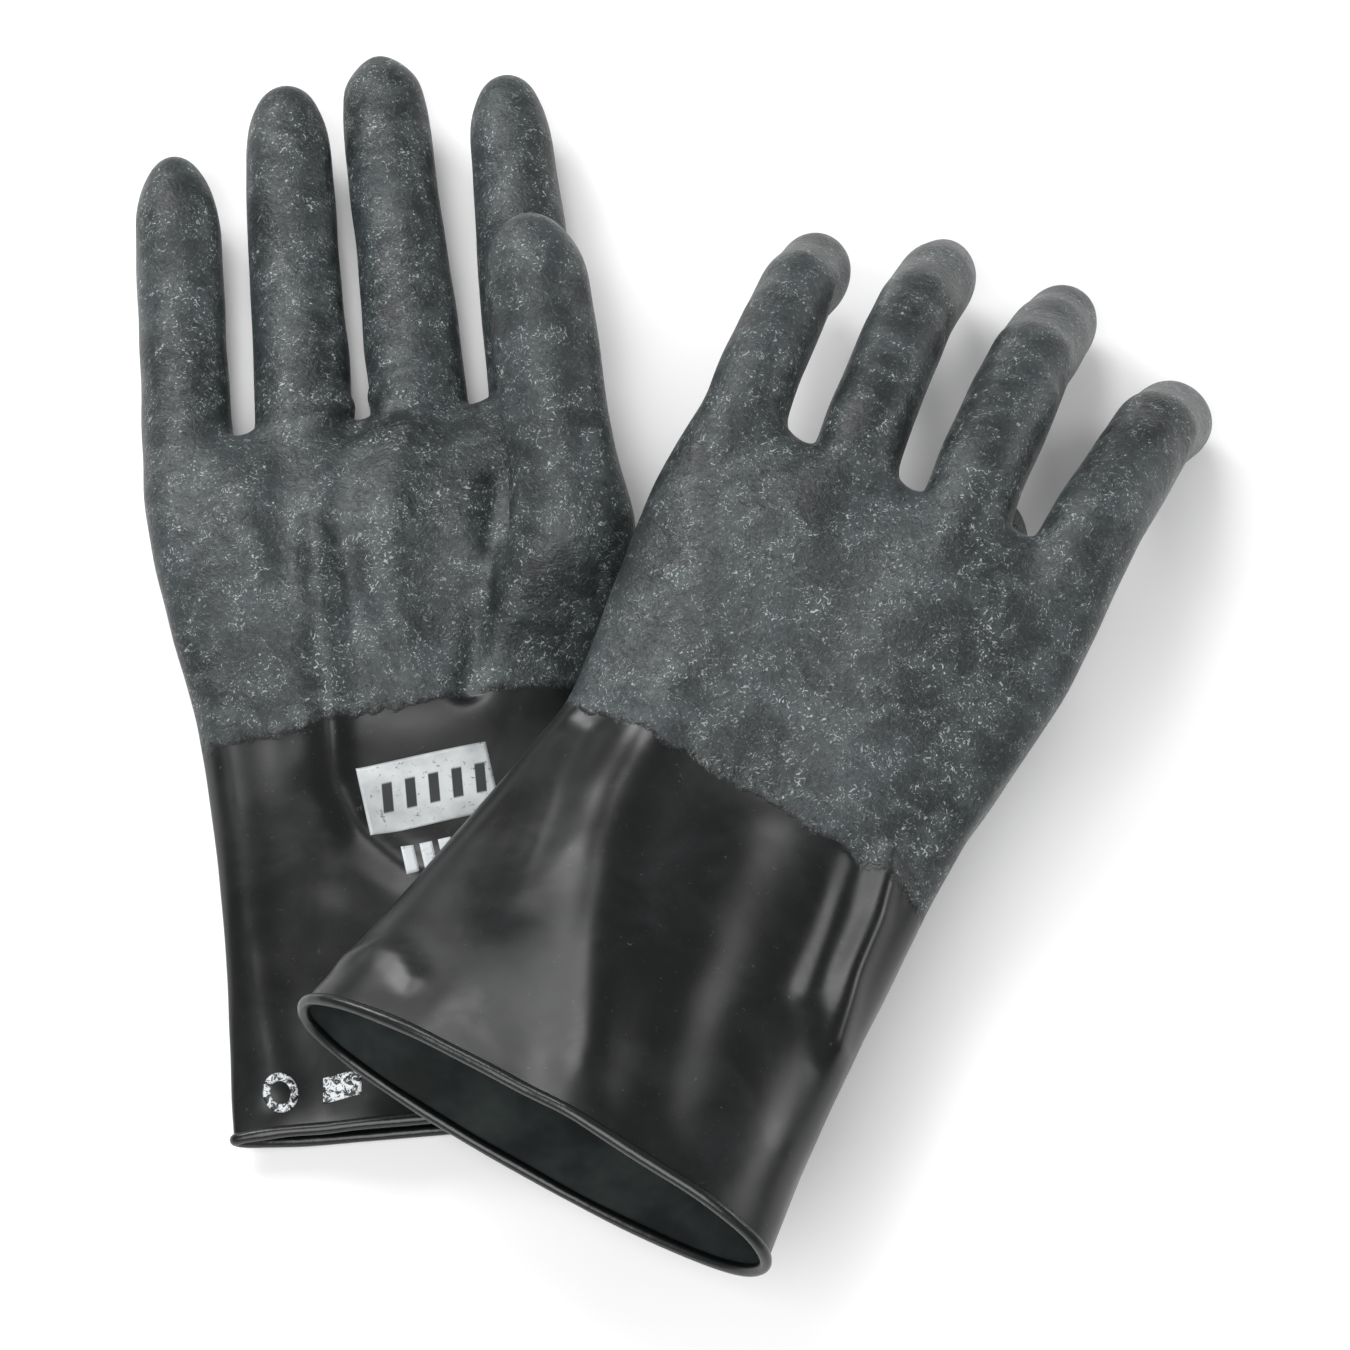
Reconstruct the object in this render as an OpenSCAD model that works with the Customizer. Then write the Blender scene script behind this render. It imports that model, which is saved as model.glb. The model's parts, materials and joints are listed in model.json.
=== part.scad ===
// A pair of dipped rubber gauntlet gloves, lying as they are put down on a table.
// The right-hand glove lies on its back with its palm up. The left-hand glove lies over it
// with its palm down and its fingers bent, so that their tips hang just above the table.
// Each glove is one thin rubber skin. Its nodes are the stretches between its bending folds.
//
// Glove coordinates: u across the hand (thumb side +), v along it from the cuff's edge
// to the fingertips, w out of the palm. +Z is up and the table is at z = 0.

/* [Shell] */
// Thickness of the rubber wall
wall = 0.7; // [0.5:0.05:1.2]
// Thickness of the rolled bead at the cuff's edge
bead_d = 2.8; // [2:0.1:5]

/* [Hand] */
// From the cuff's edge to the wrist's fold
cuff_length = 100; // [82:1:240]
// From the wrist's fold to the webs between the fingers
hand_length = 84; // [70:1:101]
// Width across the cuff's edge, as the cuff lies
cuff_width = 120; // [100:1:146]
// Width at the wrist
wrist_width = 98; // [82:1:118]
// Width across the palm
palm_width = 110; // [92:1:132]
// Gap between two finger stalls at their roots
finger_gap = 4.5; // [3:0.5:6]

/* [Fingers] */
// Length of the little finger's stall, from the webs
little_length = 77; // [64:1:93]
// Length of the ring finger's stall
ring_length = 93; // [78:1:112]
// Length of the middle finger's stall
middle_length = 98; // [82:1:118]
// Length of the index finger's stall
index_length = 89; // [74:1:107]
// Length of the thumb's stall, from its root inside the hand
thumb_length = 114; // [104:1:137]
// Width of the thumb's stall at its tip section
thumb_width = 25; // [20:1:29]

/* [Right glove, lying under] */
// Height of the flattened cuff at its edge
right_mouth_height = 10; // [8:0.5:20]
// Height of the glove at the wrist
right_wrist_height = 22; // [18:1:26]
// Height of the palm
right_palm_height = 28; // [24:1:33]
// Height of a finger stall
right_finger_height = 20; // [17:1:24]

/* [Left glove, lying over] */
// Height of the open cuff at its edge
left_mouth_height = 42; // [35:1:50]
// Height of the glove at the wrist
left_wrist_height = 32; // [27:1:38]
// Height of the palm
left_palm_height = 30; // [25:1:36]
// Height of a finger stall
left_finger_height = 22; // [18:1:26]

/* [Print] */
// Width of the printed patch on the right cuff
patch_width = 31; // [26:1:37]
// Height of the printed patch along the cuff
patch_height = 17; // [14:1:20]
// Diameter of the worn size ring printed near the cuff's edge
size_ring_d = 8; // [6:0.5:10]

/* [Hidden] */
RIGHT = 0;
LEFT = 1;
LITTLE = 0;
RING = 1;
MIDDLE = 2;
INDEX = 3;
THUMB = 4;
HANDS = ["right", "left"];
DIGITS = ["little", "ring", "middle", "index", "thumb"];

// Rubber, bead and ink colours
rough_rubber = "#4a5052";
smooth_rubber = "#17191b";
bead_rubber = "#0e1011";
silver_ink = "#a9abac";
white_ink = "#d5d9dc";

// Facets round a hand section, round a finger section and round the bead
HAND_FACETS = 36;
FINGER_FACETS = 12;
BEAD_FACETS = 6;
// Straight stretches along a cuff
CUFF_STEPS = 5;
// How square a hand section is: 2 is an ellipse, more is boxier
HAND_POWER = 2.3;

// --- how the pair lies ---------------------------------------------------------------
web_v = cuff_length + hand_length;
// Where one edge of each palm lies across the table. A wider palm grows away from it
palm_edge_x = [9, -81.5];
// Where the line of each cuff's edge lies along the table
cuff_edge_y = [-116.3, -136.3];
// Where the straight axis of each hand meets the line of its cuff's edge
lie_at = [
    [palm_edge_x[RIGHT] - palm_width / 2, cuff_edge_y[RIGHT], right_palm_height / 2],
    [palm_edge_x[LEFT] + palm_width / 2, cuff_edge_y[LEFT], 0]
];
// Direction of each hand, clockwise from +Y seen from above
lie_turn = [-9, 27];
// How far each palm slopes up from the wrist to the knuckles
lie_slope = [0, 9];
// Height of the left glove's middle plane at its wrist, above the right palm's own height
over_height = 9.5;
left_wrist_z = right_palm_height + over_height;
// How far each cuff is folded up and swung sideways at the wrist
cuff_lift = [0, 15];
cuff_swing = [4, -3];
// How far out of square each cuff's edge lies
cuff_skew = [8, 0];
// Lean of each digit towards the thumb's side
lean = [[4.5, 4.5, 1.5, 3.5, 0], [-9, -9, -6.5, 0, -15]];
// Bend of each digit towards the palm, at its root fold and at its middle fold
root_bend = [[3, 3, 3, 2, 0], [28, 27, 28, 30, 0]];
mid_bend = [[6, 6, 5, 4, 6], [27, 22, 23, 32, 4]];
// Rise of the thumb out of the palm, and where its root is in the hand
thumb_rise = [13, 13];
thumb_at = [[45, cuff_length - 2, 14], [40, cuff_length - 5, 15]];

// --- folds ---------------------------------------------------------------------------
// Half of the length of rubber that bends at the wrist, at a finger's root and in its middle
wrist_half = 7;
root_half = 7;
mid_half = 6.5;
// Where the palm's own stubs start and end, from the webs
stub_start = -2;
stub_reach = 4;
// Where the thumb's stub starts and ends, from the thumb's root
thumb_start = 30;
thumb_stub = 45;
// Where the thumb opens out of the hand, along v, and for how long
thumb_hole_v = cuff_length + wrist_half + 3;
thumb_hole_length = 32;
// Where the hand starts to part into fingers, before the webs
END_LENGTH = 22;

finger_lane = (palm_width - 3 * finger_gap) / 4;
finger_pitch = finger_lane + finger_gap;
// How much narrower each finger is than its lane, on each side
trim = [[0.8, 0.2, 0.2, 0.4], [2, 1.6, 1.2, 1]];
finger_height = [right_finger_height, left_finger_height];
mouth_height = [right_mouth_height, left_mouth_height];
wrist_height = [right_wrist_height, left_wrist_height];
palm_height = [right_palm_height, left_palm_height];
digit_length = [little_length, ring_length, middle_length, index_length, thumb_length];
// The middle fold is a share of the way along the stall, as the finger's joint is
mid_share = [0.52, 0.52, 0.52, 0.52, 0.71];

function root_y(d) = (d == THUMB ? thumb_stub : stub_reach) + root_half;
function mid_y(d) = digit_length[d] * mid_share[d];

// --- matrices ------------------------------------------------------------------------
function move(p) = [[1, 0, 0, p[0]], [0, 1, 0, p[1]], [0, 0, 1, p[2]], [0, 0, 0, 1]];
function turn_x(a) = [[1, 0, 0, 0], [0, cos(a), -sin(a), 0], [0, sin(a), cos(a), 0], [0, 0, 0, 1]];
function turn_z(a) = [[cos(a), -sin(a), 0, 0], [sin(a), cos(a), 0, 0], [0, 0, 1, 0], [0, 0, 0, 1]];
function flip_w(h) = [[1, 0, 0, 0], [0, 1, 0, 0], [0, 0, h == LEFT ? -1 : 1, 0], [0, 0, 0, 1]];
function about(p, m) = move(p) * m * move(-p);
function apply(m, p) = let (q = m * [p[0], p[1], p[2], 1]) [q[0], q[1], q[2]];
function ease(t) = let (s = min(1, max(0, t))) s * s * (3 - 2 * s);
function mix(a, b, t) = a * (1 - t) + b * t;

// --- frames of the rigid stretches ---------------------------------------------------
wrist_pos = [0, cuff_length, 0];
function palm_frame(h) =
    move(lie_at[h]) * turn_z(-lie_turn[h])
    * (h == LEFT ? move([0, 0, left_wrist_z]) : move([0, 0, 0]))
    * about(wrist_pos, turn_x(lie_slope[h])) * flip_w(h);
function cuff_frame(h) =
    palm_frame(h) * about(wrist_pos, turn_z(cuff_swing[h]) * turn_x(cuff_lift[h]));
function finger_u(d) = (d - 1.5) * finger_pitch;
function digit_frame(h, d) =
    palm_frame(h) * (d == THUMB
        ? move(thumb_at[h]) * turn_z(-lean[h][d]) * turn_x(thumb_rise[h])
        : move([finger_u(d), web_v, finger_w(h)]) * turn_z(-lean[h][d]));
// A finger's middle plane: the under glove's fingers lie on the table
function finger_w(h) = h == RIGHT ? (finger_height[h] - palm_height[h]) / 2 : 0;
function base_frame(h, d) =
    digit_frame(h, d) * about([0, root_y(d), 0], turn_x(root_bend[h][d]));
function tip_frame(h, d) =
    base_frame(h, d) * about([0, mid_y(d), 0], turn_x(mid_bend[h][d]));

// --- sections ------------------------------------------------------------------------
function signed_power(x, p) = sign(x) * pow(abs(x), p);
// How far past the wrist the hand reaches its full width, and its full height
widen_length = 58.8;
rise_length = 42;
// Half the width and half the height of the hand at v
function hand_a(v) =
    v < cuff_length
        ? wrist_width / 2 + (cuff_width - wrist_width) / 2 * pow(1 - v / cuff_length, 1.5)
        : wrist_width / 2 + (palm_width - wrist_width) / 2 * ease((v - cuff_length) / widen_length);
function hand_b(h, v) =
    v < cuff_length
        ? mix(mouth_height[h], wrist_height[h], ease(v / cuff_length)) / 2
        : mix(wrist_height[h], palm_height[h], ease((v - cuff_length) / rise_length)) / 2;
// The under glove's sections all rest on the table
function hand_w(h, v) =
    h == RIGHT ? hand_b(h, v) - palm_height[h] / 2 + bead_d / 2 * pow(max(0, 1 - v / cuff_length), 3) : 0;
// Directions of a hand section's points. The first five are spread wide, round the thumb's opening
function hand_t(k) = k < 4 ? 5 + k * 67 / 4 : k < 18 ? 72 + (k - 4) * 103 / 13 : 185 + (k - 18) * 10;
function hand_ring(h, v, inset) = [
    for (k = [0:HAND_FACETS - 1])
        let (t = hand_t(k))
            let (u = (hand_a(v) - inset) * signed_power(cos(t), 2 / HAND_POWER))
            [u, v - u * tan(cuff_skew[h]) * max(0, 1 - v / cuff_length),
             hand_w(h, v) + (hand_b(h, v) - inset) * signed_power(sin(t), 2 / HAND_POWER) * flat_k]
];
// Brings the flat facet under a hand section down to its full height
flat_k = 1 / pow(sin(85), 2 / HAND_POWER);

// Half the width and height of a digit at y from the webs, and its rounded tip
TIP_ROUND = 17;
// How far short of the stall's length its last section is, so that it still has a width
TIP_END = 0.12;
// Share of its width and height that a finger loses by its tip
FINGER_TAPER = 0.1;
// Half of the thumb's height, as a share of its width
THUMB_DEPTH = 0.45;
function tip_k(d, y) =
    let (t = (y - digit_length[d] + TIP_ROUND) / TIP_ROUND) t <= 0 ? 1 : sqrt(max(0, 1 - t * t));
function taper(d, y) = 1 - FINGER_TAPER * ease(y / digit_length[d]);
THUMB_SWELL = [7.5, 4];
function thumb_swell(y) = pow(1 - ease(y / (thumb_stub + 20)), 1.2);
function digit_a(h, d, y) =
    (d == THUMB
        ? thumb_width / 2 + THUMB_SWELL[0] * thumb_swell(y)
        : (finger_lane / 2 - trim[h][d]) * taper(d, y)) * tip_k(d, y);
function digit_b(h, d, y) =
    (d == THUMB
        ? thumb_width * THUMB_DEPTH + THUMB_SWELL[1] * thumb_swell(y)
        : finger_height[h] / 2 * taper(d, y)) * tip_k(d, y);
// One oval section of a digit at y
function digit_ring(h, d, y, inset) = [
    for (i = [0:FINGER_FACETS - 1])
        let (t = (i + 0.5) * 360 / FINGER_FACETS)
            [(digit_a(h, d, y) - inset) * cos(t), y, (digit_b(h, d, y) - inset) * sin(t)]
];

// A ring carried by two frames, by the share t of the second
function carried(ring, m0, m1, t) = [for (p = ring) mix(apply(m0, p), apply(m1, p), t)];

// --- skins ---------------------------------------------------------------------------
// A thin open tube between an outer and an inner stack of rings, or a cap if closed
module skin(outer, inner, closed, mirrored) {
    n = len(outer[0]);
    r = len(outer);
    points = concat([for (ring = outer) each ring], [for (ring = inner) each ring]);
    function side(k0, k1, flip) = [
        for (i = [0:n - 1])
            let (j = (i + 1) % n, a = k0 * n + i, b = k0 * n + j, c = k1 * n + j, e = k1 * n + i)
                each (flip ? [[a, b, c], [a, c, e]] : [[a, c, b], [a, e, c]])
    ];
    faces = concat(
        [for (k = [0:r - 2]) each side(k, k + 1, true)],
        [for (k = [0:r - 2]) each side(r + k, r + k + 1, false)],
        side(0, r, false),
        closed
            ? [[for (i = [0:n - 1]) (r - 1) * n + i], [for (i = [n - 1:-1:0]) (2 * r - 1) * n + i]]
            : side(r - 1, 2 * r - 1, true)
    );
    polyhedron(points, [for (f = faces) mirrored ? [for (i = [len(f) - 1:-1:0]) f[i]] : f]);
}

function steps(from, to, n) = [for (k = [0:n]) from + (to - from) * k / n];

// A stretch of a digit's skin from y0 to y1, bending between two frames over the fold at ym
module digit_skin(h, d, ys, m0, m1, y0, y1, closed) {
    span = y1 - y0;
    skin(
        [for (y = ys) carried(digit_ring(h, d, y, 0), m0, m1, ease((y - y0) / span))],
        [for (y = ys) carried(digit_ring(h, d, min(y, closed ? digit_length[d] - 1.5 * wall : y), wall),
            m0, m1, ease((y - y0) / span))],
        closed, h == LEFT
    );
}

module root_fold(h, d) {
    y0 = root_y(d) - root_half;
    y1 = root_y(d) + root_half;
    color(rough_rubber)
        digit_skin(h, d, steps(y0, y1, 2), digit_frame(h, d), base_frame(h, d), y0, y1, false);
}

module base(h, d) {
    y0 = root_y(d) + root_half;
    y1 = mid_y(d) - mid_half;
    color(rough_rubber)
        digit_skin(h, d, [y0, y1], base_frame(h, d), base_frame(h, d), y0, y1, false);
}

module mid_fold(h, d) {
    y0 = mid_y(d) - mid_half;
    y1 = mid_y(d) + mid_half;
    color(rough_rubber)
        digit_skin(h, d, steps(y0, y1, 2), base_frame(h, d), tip_frame(h, d), y0, y1, false);
}

module tip(h, d) {
    y0 = mid_y(d) + mid_half;
    y1 = digit_length[d];
    straight = y1 - TIP_ROUND;
    round_ys = [for (t = [0.45, 0.75, 0.93]) straight + TIP_ROUND * t];
    color(rough_rubber)
        digit_skin(h, d, concat([y0, straight], round_ys, [y1 - TIP_END]), tip_frame(h, d), tip_frame(h, d),
            y0, y1, true);
}

// The palm's skin runs from the wrist's fold to the webs, where it parts into four short
// finger stubs, and it has a stub for the thumb. Its rings are numbered as in a list:
// four hand rings, the start and the end of each finger stub, and those of the thumb's.
P_FINGER = 4 * HAND_FACETS;
P_REACH = P_FINGER + 4 * FINGER_FACETS;
P_THUMB = P_REACH + 4 * FINGER_FACETS;
P_ALL = P_THUMB + 2 * FINGER_FACETS;
// Which finger stub's point a hand point runs into, going round from the index finger
function end_point(k) =
    k == 35 ? finger_point(INDEX, 11)
    : k < 5 ? finger_point(INDEX, k)
    : k < 17 ? finger_point(3 - floor((k - 1) / 4), (k - 1) % 4 + 1)
    : k < 19 ? finger_point(LITTLE, k - 12)
    : finger_point(floor((k - 19) / 4), (k - 19) % 4 + 7);
function finger_point(d, i) = P_FINGER + d * FINGER_FACETS + i;

function palm_points(h, inset) =
    let (m = palm_frame(h),
         vs = [cuff_length + wrist_half, thumb_hole_v, thumb_hole_v + thumb_hole_length, web_v - END_LENGTH])
    concat(
        [for (v = vs) each carried(hand_ring(h, v, inset), m, m, 0)],
        [for (d = [LITTLE:INDEX]) each on_digit(h, d, stub_start - inset, inset)],
        [for (d = [LITTLE:INDEX]) each on_digit(h, d, stub_reach, inset)],
        on_digit(h, THUMB, thumb_start, inset),
        on_digit(h, THUMB, thumb_stub, inset)
    );
function on_digit(h, d, y, inset) =
    let (m = digit_frame(h, d)) carried(digit_ring(h, d, y, inset), m, m, 0);

function quad(a, b, c, e) = [[a, b, c], [a, c, e]];
function band(from, to, n, columns) =
    [for (i = columns) each quad(from + i, from + (i + 1) % n, to + (i + 1) % n, to + i)];
function palm_faces() =
    let (n = HAND_FACETS, q = FINGER_FACETS, all = [0:n - 1], hole = [35, 0, 1, 2, 3, 4])
    concat(
        band(0, n, n, all),
        band(n, 2 * n, n, [4:n - 2]),
        band(2 * n, 3 * n, n, all),
        [for (k = all) each quad(3 * n + k, 3 * n + (k + 1) % n, end_point((k + 1) % n), end_point(k))],
        [for (d = [LITTLE:INDEX]) each band(finger_point(d, 0), P_REACH + d * q, q, [0:q - 1])],
        // the three webs
        [for (d = [LITTLE:MIDDLE], m = [0:2])
            let (a = [10, 11, 0, 1], b = [7, 6, 5, 4])
                each quad(finger_point(d, a[m + 1]), finger_point(d, a[m]),
                    finger_point(d + 1, b[m]), finger_point(d + 1, b[m + 1]))],
        // the thumb's opening
        [for (m = [0:4]) each quad(n + hole[m], n + hole[m + 1], P_THUMB + m + 1, P_THUMB + m)],
        [for (m = [0:4]) each quad(2 * n + hole[5 - m], 2 * n + hole[4 - m], P_THUMB + m + 7, P_THUMB + m + 6)],
        quad(n + 4, 2 * n + 4, P_THUMB + 6, P_THUMB + 5),
        quad(2 * n + 35, n + 35, P_THUMB, P_THUMB + q - 1),
        band(P_THUMB, P_THUMB + q, q, [0:q - 1])
    );
function backwards(faces) = [for (f = faces) [f[0], f[2], f[1]]];
function shifted(faces, by) = [for (f = faces) [f[0] + by, f[1] + by, f[2] + by]];

module palm(h) {
    q = FINGER_FACETS;
    rims = concat(
        [for (d = [LITTLE:INDEX]) each band(P_REACH + d * q, P_ALL + P_REACH + d * q, q, [0:q - 1])],
        band(P_THUMB + q, P_ALL + P_THUMB + q, q, [0:q - 1]),
        backwards(band(0, P_ALL, HAND_FACETS, [0:HAND_FACETS - 1]))
    );
    faces = concat(palm_faces(), backwards(shifted(palm_faces(), P_ALL)), rims);
    color(rough_rubber)
        polyhedron(concat(palm_points(h, 0), palm_points(h, wall)), h == LEFT ? backwards(faces) : faces);
}

module hand_skin(h, vs, m0, m1, v0, v1) {
    skin(
        [for (v = vs) carried(hand_ring(h, v, 0), m0, m1, ease((v - v0) / (v1 - v0)))],
        [for (v = vs) carried(hand_ring(h, v, wall), m0, m1, ease((v - v0) / (v1 - v0)))],
        false, h == LEFT
    );
}

module wrist_fold(h) {
    v0 = cuff_length - wrist_half;
    v1 = cuff_length + wrist_half;
    color(smooth_rubber) hand_skin(h, steps(v0, v1, 2), cuff_frame(h), palm_frame(h), v0, v1);
}

function cuff_stations() = steps(bead_d / 2, cuff_length - wrist_half, CUFF_STEPS);

module cuff(h) {
    ys = cuff_stations();
    color(smooth_rubber) hand_skin(h, ys, cuff_frame(h), cuff_frame(h), ys[0], ys[CUFF_STEPS]);
}

// The rolled bead: a round section carried along the cuff's edge
module cuff_bead(h) {
    m = cuff_frame(h);
    n = HAND_FACETS;
    line = hand_ring(h, bead_d / 2, wall / 2);
    points = [
        for (i = [0:n - 1])
            let (out = [line[i][0] / pow(hand_a(0), 2), 0, (line[i][2] - hand_w(h, 0)) / pow(hand_b(h, 0), 2)],
                 dir = out / norm(out))
                for (k = [0:BEAD_FACETS - 1])
                    let (t = (k + 0.5) * 360 / BEAD_FACETS)
                        apply(m, line[i] + (dir * cos(t) + [0, sin(t), 0]) * bead_d / 2 - [0, bead_d / 2, 0])
    ];
    faces = [
        for (i = [0:n - 1])
            for (k = [0:BEAD_FACETS - 1])
                let (j = (i + 1) % n, l = (k + 1) % BEAD_FACETS, q = BEAD_FACETS)
                    each [[i * q + k, j * q + k, j * q + l], [i * q + k, j * q + l, i * q + l]]
    ];
    color(bead_rubber) polyhedron(points, [for (f = faces) h == LEFT ? [f[2], f[1], f[0]] : f]);
}

// --- print on the right cuff ----------------------------------------------------------
INK = 0.3;
INK_LIFT = 0.1;
// Height of the right cuff's upper skin at u, v, as its straight stretches give it
function cuff_w(u, v) =
    let (ys = cuff_stations(),
         b = lookup(v, [for (y = ys) [y, hand_b(RIGHT, y)]]),
         w = lookup(v, [for (y = ys) [y, hand_w(RIGHT, y)]]),
         a = lookup(v, [for (y = ys) [y, hand_a(y)]]))
        w + b * pow(1 - pow(min(0.999, abs(u) / a), HAND_POWER), 1 / HAND_POWER);
function on_cuff(u, v, up) =
    let (square_v = v + u * tan(cuff_skew[RIGHT]) * (1 - v / cuff_length))
        apply(cuff_frame(RIGHT), [u, v, cuff_w(u, square_v) + INK_LIFT + up]);

// A film of ink over a rectangle of the cuff, from its lower left corner
module film(u0, v0, width, length, columns, rows) {
    n = 2 * (rows + 1);
    vs = steps(v0, v0 + length, rows);
    points = [
        for (u = steps(u0, u0 + width, columns))
            each concat([for (v = vs) on_cuff(u, v, 0)], [for (i = [rows:-1:0]) on_cuff(u, vs[i], INK)])
    ];
    cap = [for (i = [0:rows - 1]) each quad(i, i + 1, n - 2 - i, n - 1 - i)];
    faces = concat(
        [for (k = [0:columns - 1]) each band(n * k, n * k + n, n, [0:n - 1])],
        backwards(cap),
        shifted(cap, n * columns)
    );
    polyhedron(points, backwards(faces));
}

patch_u = -15;
patch_v = 71;
bar_width = 3;
bar_length = 7;
bar_pitch = 4.4;
BARS = 4;
// How far in from the patch's edge the first bar is
bars_inset = 7;
bars_v = 60.5;
// Columns and rows of the patch's film, and of a bar's
PATCH_GRID = [8, 6];
BAR_GRID = [2, 3];
size_at = [-47, 19];
size_line = 1.8;
SIZE_STEPS = 16;

module print_patch() {
    color(silver_ink) film(patch_u, patch_v, patch_width, patch_height, PATCH_GRID[0], PATCH_GRID[1]);
}

module print_bars() {
    color(white_ink)
        for (i = [0:BARS - 1])
            film(patch_u + bars_inset + i * bar_pitch, bars_v, bar_width, bar_length, BAR_GRID[0], BAR_GRID[1]);
}

module size_ring() {
    n = SIZE_STEPS;
    points = [
        for (i = [0:n - 1])
            let (t = i * 360 / n)
                for (c = [[0, 0], [size_line, 0], [size_line, INK], [0, INK]])
                    let (r = size_ring_d / 2 - c[0])
                        on_cuff(size_at[0] + r * cos(t), size_at[1] + r * sin(t), c[1])
    ];
    faces = [
        for (i = [0:n - 1], k = [0:3])
            let (j = (i + 1) % n, l = (k + 1) % 4)
                each quad(i * 4 + k, i * 4 + l, j * 4 + l, j * 4 + k)
    ];
    color(white_ink) polyhedron(points, backwards(faces));
}

for (h = [RIGHT, LEFT]) {
    palm(h);
    wrist_fold(h);
    cuff(h);
    cuff_bead(h);
    for (d = [LITTLE:THUMB]) {
        root_fold(h, d);
        base(h, d);
        mid_fold(h, d);
        tip(h, d);
    }
}
print_patch();
print_bars();
size_ring();
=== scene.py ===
# %% [markdown]
# # A pair of dipped rubber gauntlet gloves
# A glove like this starts as a porcelain hand. It is dipped in liquid rubber, dried, rolled
# at the open edge and peeled off, so each glove is one thin skin that is turned round every
# finger. The look is built the same way: one coarse cage of rings and webs for each glove,
# smoothed by subdivision, given its creases, and only then cut where it bends.

import json
import math

import bmesh
import bpy
import numpy as np
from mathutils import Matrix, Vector
from mathutils.bvhtree import BVHTree


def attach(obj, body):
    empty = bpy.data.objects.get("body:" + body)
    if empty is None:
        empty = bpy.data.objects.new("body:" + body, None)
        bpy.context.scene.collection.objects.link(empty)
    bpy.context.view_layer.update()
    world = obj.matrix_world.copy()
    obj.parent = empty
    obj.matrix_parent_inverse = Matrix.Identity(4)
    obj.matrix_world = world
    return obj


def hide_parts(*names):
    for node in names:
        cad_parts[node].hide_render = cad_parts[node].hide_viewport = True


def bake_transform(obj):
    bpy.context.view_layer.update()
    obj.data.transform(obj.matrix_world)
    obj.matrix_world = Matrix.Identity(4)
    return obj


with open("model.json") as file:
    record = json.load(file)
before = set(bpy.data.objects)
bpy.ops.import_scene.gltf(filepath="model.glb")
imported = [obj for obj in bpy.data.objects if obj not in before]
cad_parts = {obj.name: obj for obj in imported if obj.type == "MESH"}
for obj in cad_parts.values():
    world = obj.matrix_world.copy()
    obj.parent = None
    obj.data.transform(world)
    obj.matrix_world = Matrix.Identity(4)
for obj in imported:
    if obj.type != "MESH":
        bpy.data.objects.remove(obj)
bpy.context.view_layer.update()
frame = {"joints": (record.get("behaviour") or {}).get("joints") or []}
joints = {j["name"]: j for j in frame["joints"]}

# %% [markdown]
# ## Sizes
# The wall, the bead and the shares of the hand are the design's own, in millimetres. The
# places come from the joints of the frame: each stretch of the glove hangs on its joint.

# %% Sizes in millimetres
MM = 0.001
SIDES = ("right", "left")
DIGITS = ("little", "ring", "middle", "index", "thumb")
THUMB = 4
WALL, BEAD = 0.7, 2.8
CUFF, HAND = 100.0, 84.0
WEB = CUFF + HAND
CUFF_W, WRIST_W, PALM_W, GAP = 120.0, 98.0, 110.0, 4.5
LENGTH = (77.0, 93.0, 98.0, 89.0, 114.0)
THUMB_W = 25.0
MOUTH_H = {"right": 10.0, "left": 42.0}
WRIST_H = {"right": 22.0, "left": 32.0}
PALM_H = {"right": 28.0, "left": 30.0}
FINGER_H = {"right": 20.0, "left": 22.0}
TRIM = {"right": (0.8, 0.2, 0.2, 0.4), "left": (2.0, 1.6, 1.2, 1.0)}
TURN = {"right": -9.0, "left": 27.0}
SLOPE = {"right": 0.0, "left": 9.0}
LIFT = {"right": 0.0, "left": 15.0}
SWING = {"right": 4.0, "left": -3.0}
SKEW = {"right": 8.0, "left": 0.0}
LEAN = {"right": (4.5, 4.5, 1.5, 3.5, 0.0), "left": (-9.0, -9.0, -6.5, 0.0, -15.0)}
ROOT_BEND = {"right": (3.0, 3.0, 3.0, 2.0, 0.0), "left": (28.0, 27.0, 28.0, 30.0, 0.0)}
MID_BEND = {"right": (6.0, 6.0, 5.0, 4.0, 6.0), "left": (27.0, 22.0, 23.0, 32.0, 4.0)}
RISE = 13.0
WRIST_HALF, ROOT_HALF, MID_HALF = 7.0, 7.0, 6.5
STUB_START, STUB_REACH = -2.0, 4.0
THUMB_START, THUMB_STUB = 30.0, 45.0
HOLE_V, HOLE_LENGTH = CUFF + WRIST_HALF + 3.0, 32.0
END_LENGTH, TIP_ROUND = 22.0, 17.0
# How far past the wrist the hand reaches its full width, and its full height
WIDEN_LENGTH, RISE_LENGTH = 58.8, 42.0
# How square a hand section is: 2 is an ellipse, more is boxier
POWER = 2.3
# Share that a finger loses by its tip, the thumb's depth as a share of its width, and its swell
TAPER, THUMB_DEPTH, THUMB_SWELL = 0.1, 0.45, (7.5, 4.0)
# Lowest that any rubber comes to the table
FLOOR_GAP = 0.02
HAND_N, FINGER_N = 36, 12
LANE = (PALM_W - 3 * GAP) / 4
# A subdivided ring of 12 points draws in to this share of its radius, so it starts larger
RING_SHRINK = (4 + 2 * math.cos(math.radians(30))) / 6
LEVEL = 3

ROOT_Y = [STUB_REACH + ROOT_HALF] * 4 + [THUMB_STUB + ROOT_HALF]
MID_Y = [LENGTH[d] * (0.71 if d == THUMB else 0.52) for d in range(5)]
print("root folds at", ROOT_Y, "middle folds at", [round(y, 1) for y in MID_Y])


# %% Turns and places of the rigid stretches
def turn_x(a):
    """The 3x3 matrix that turns by a degrees about X."""
    c, s = math.cos(math.radians(a)), math.sin(math.radians(a))
    return np.array([[1, 0, 0], [0, c, -s], [0, s, c]])


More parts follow.
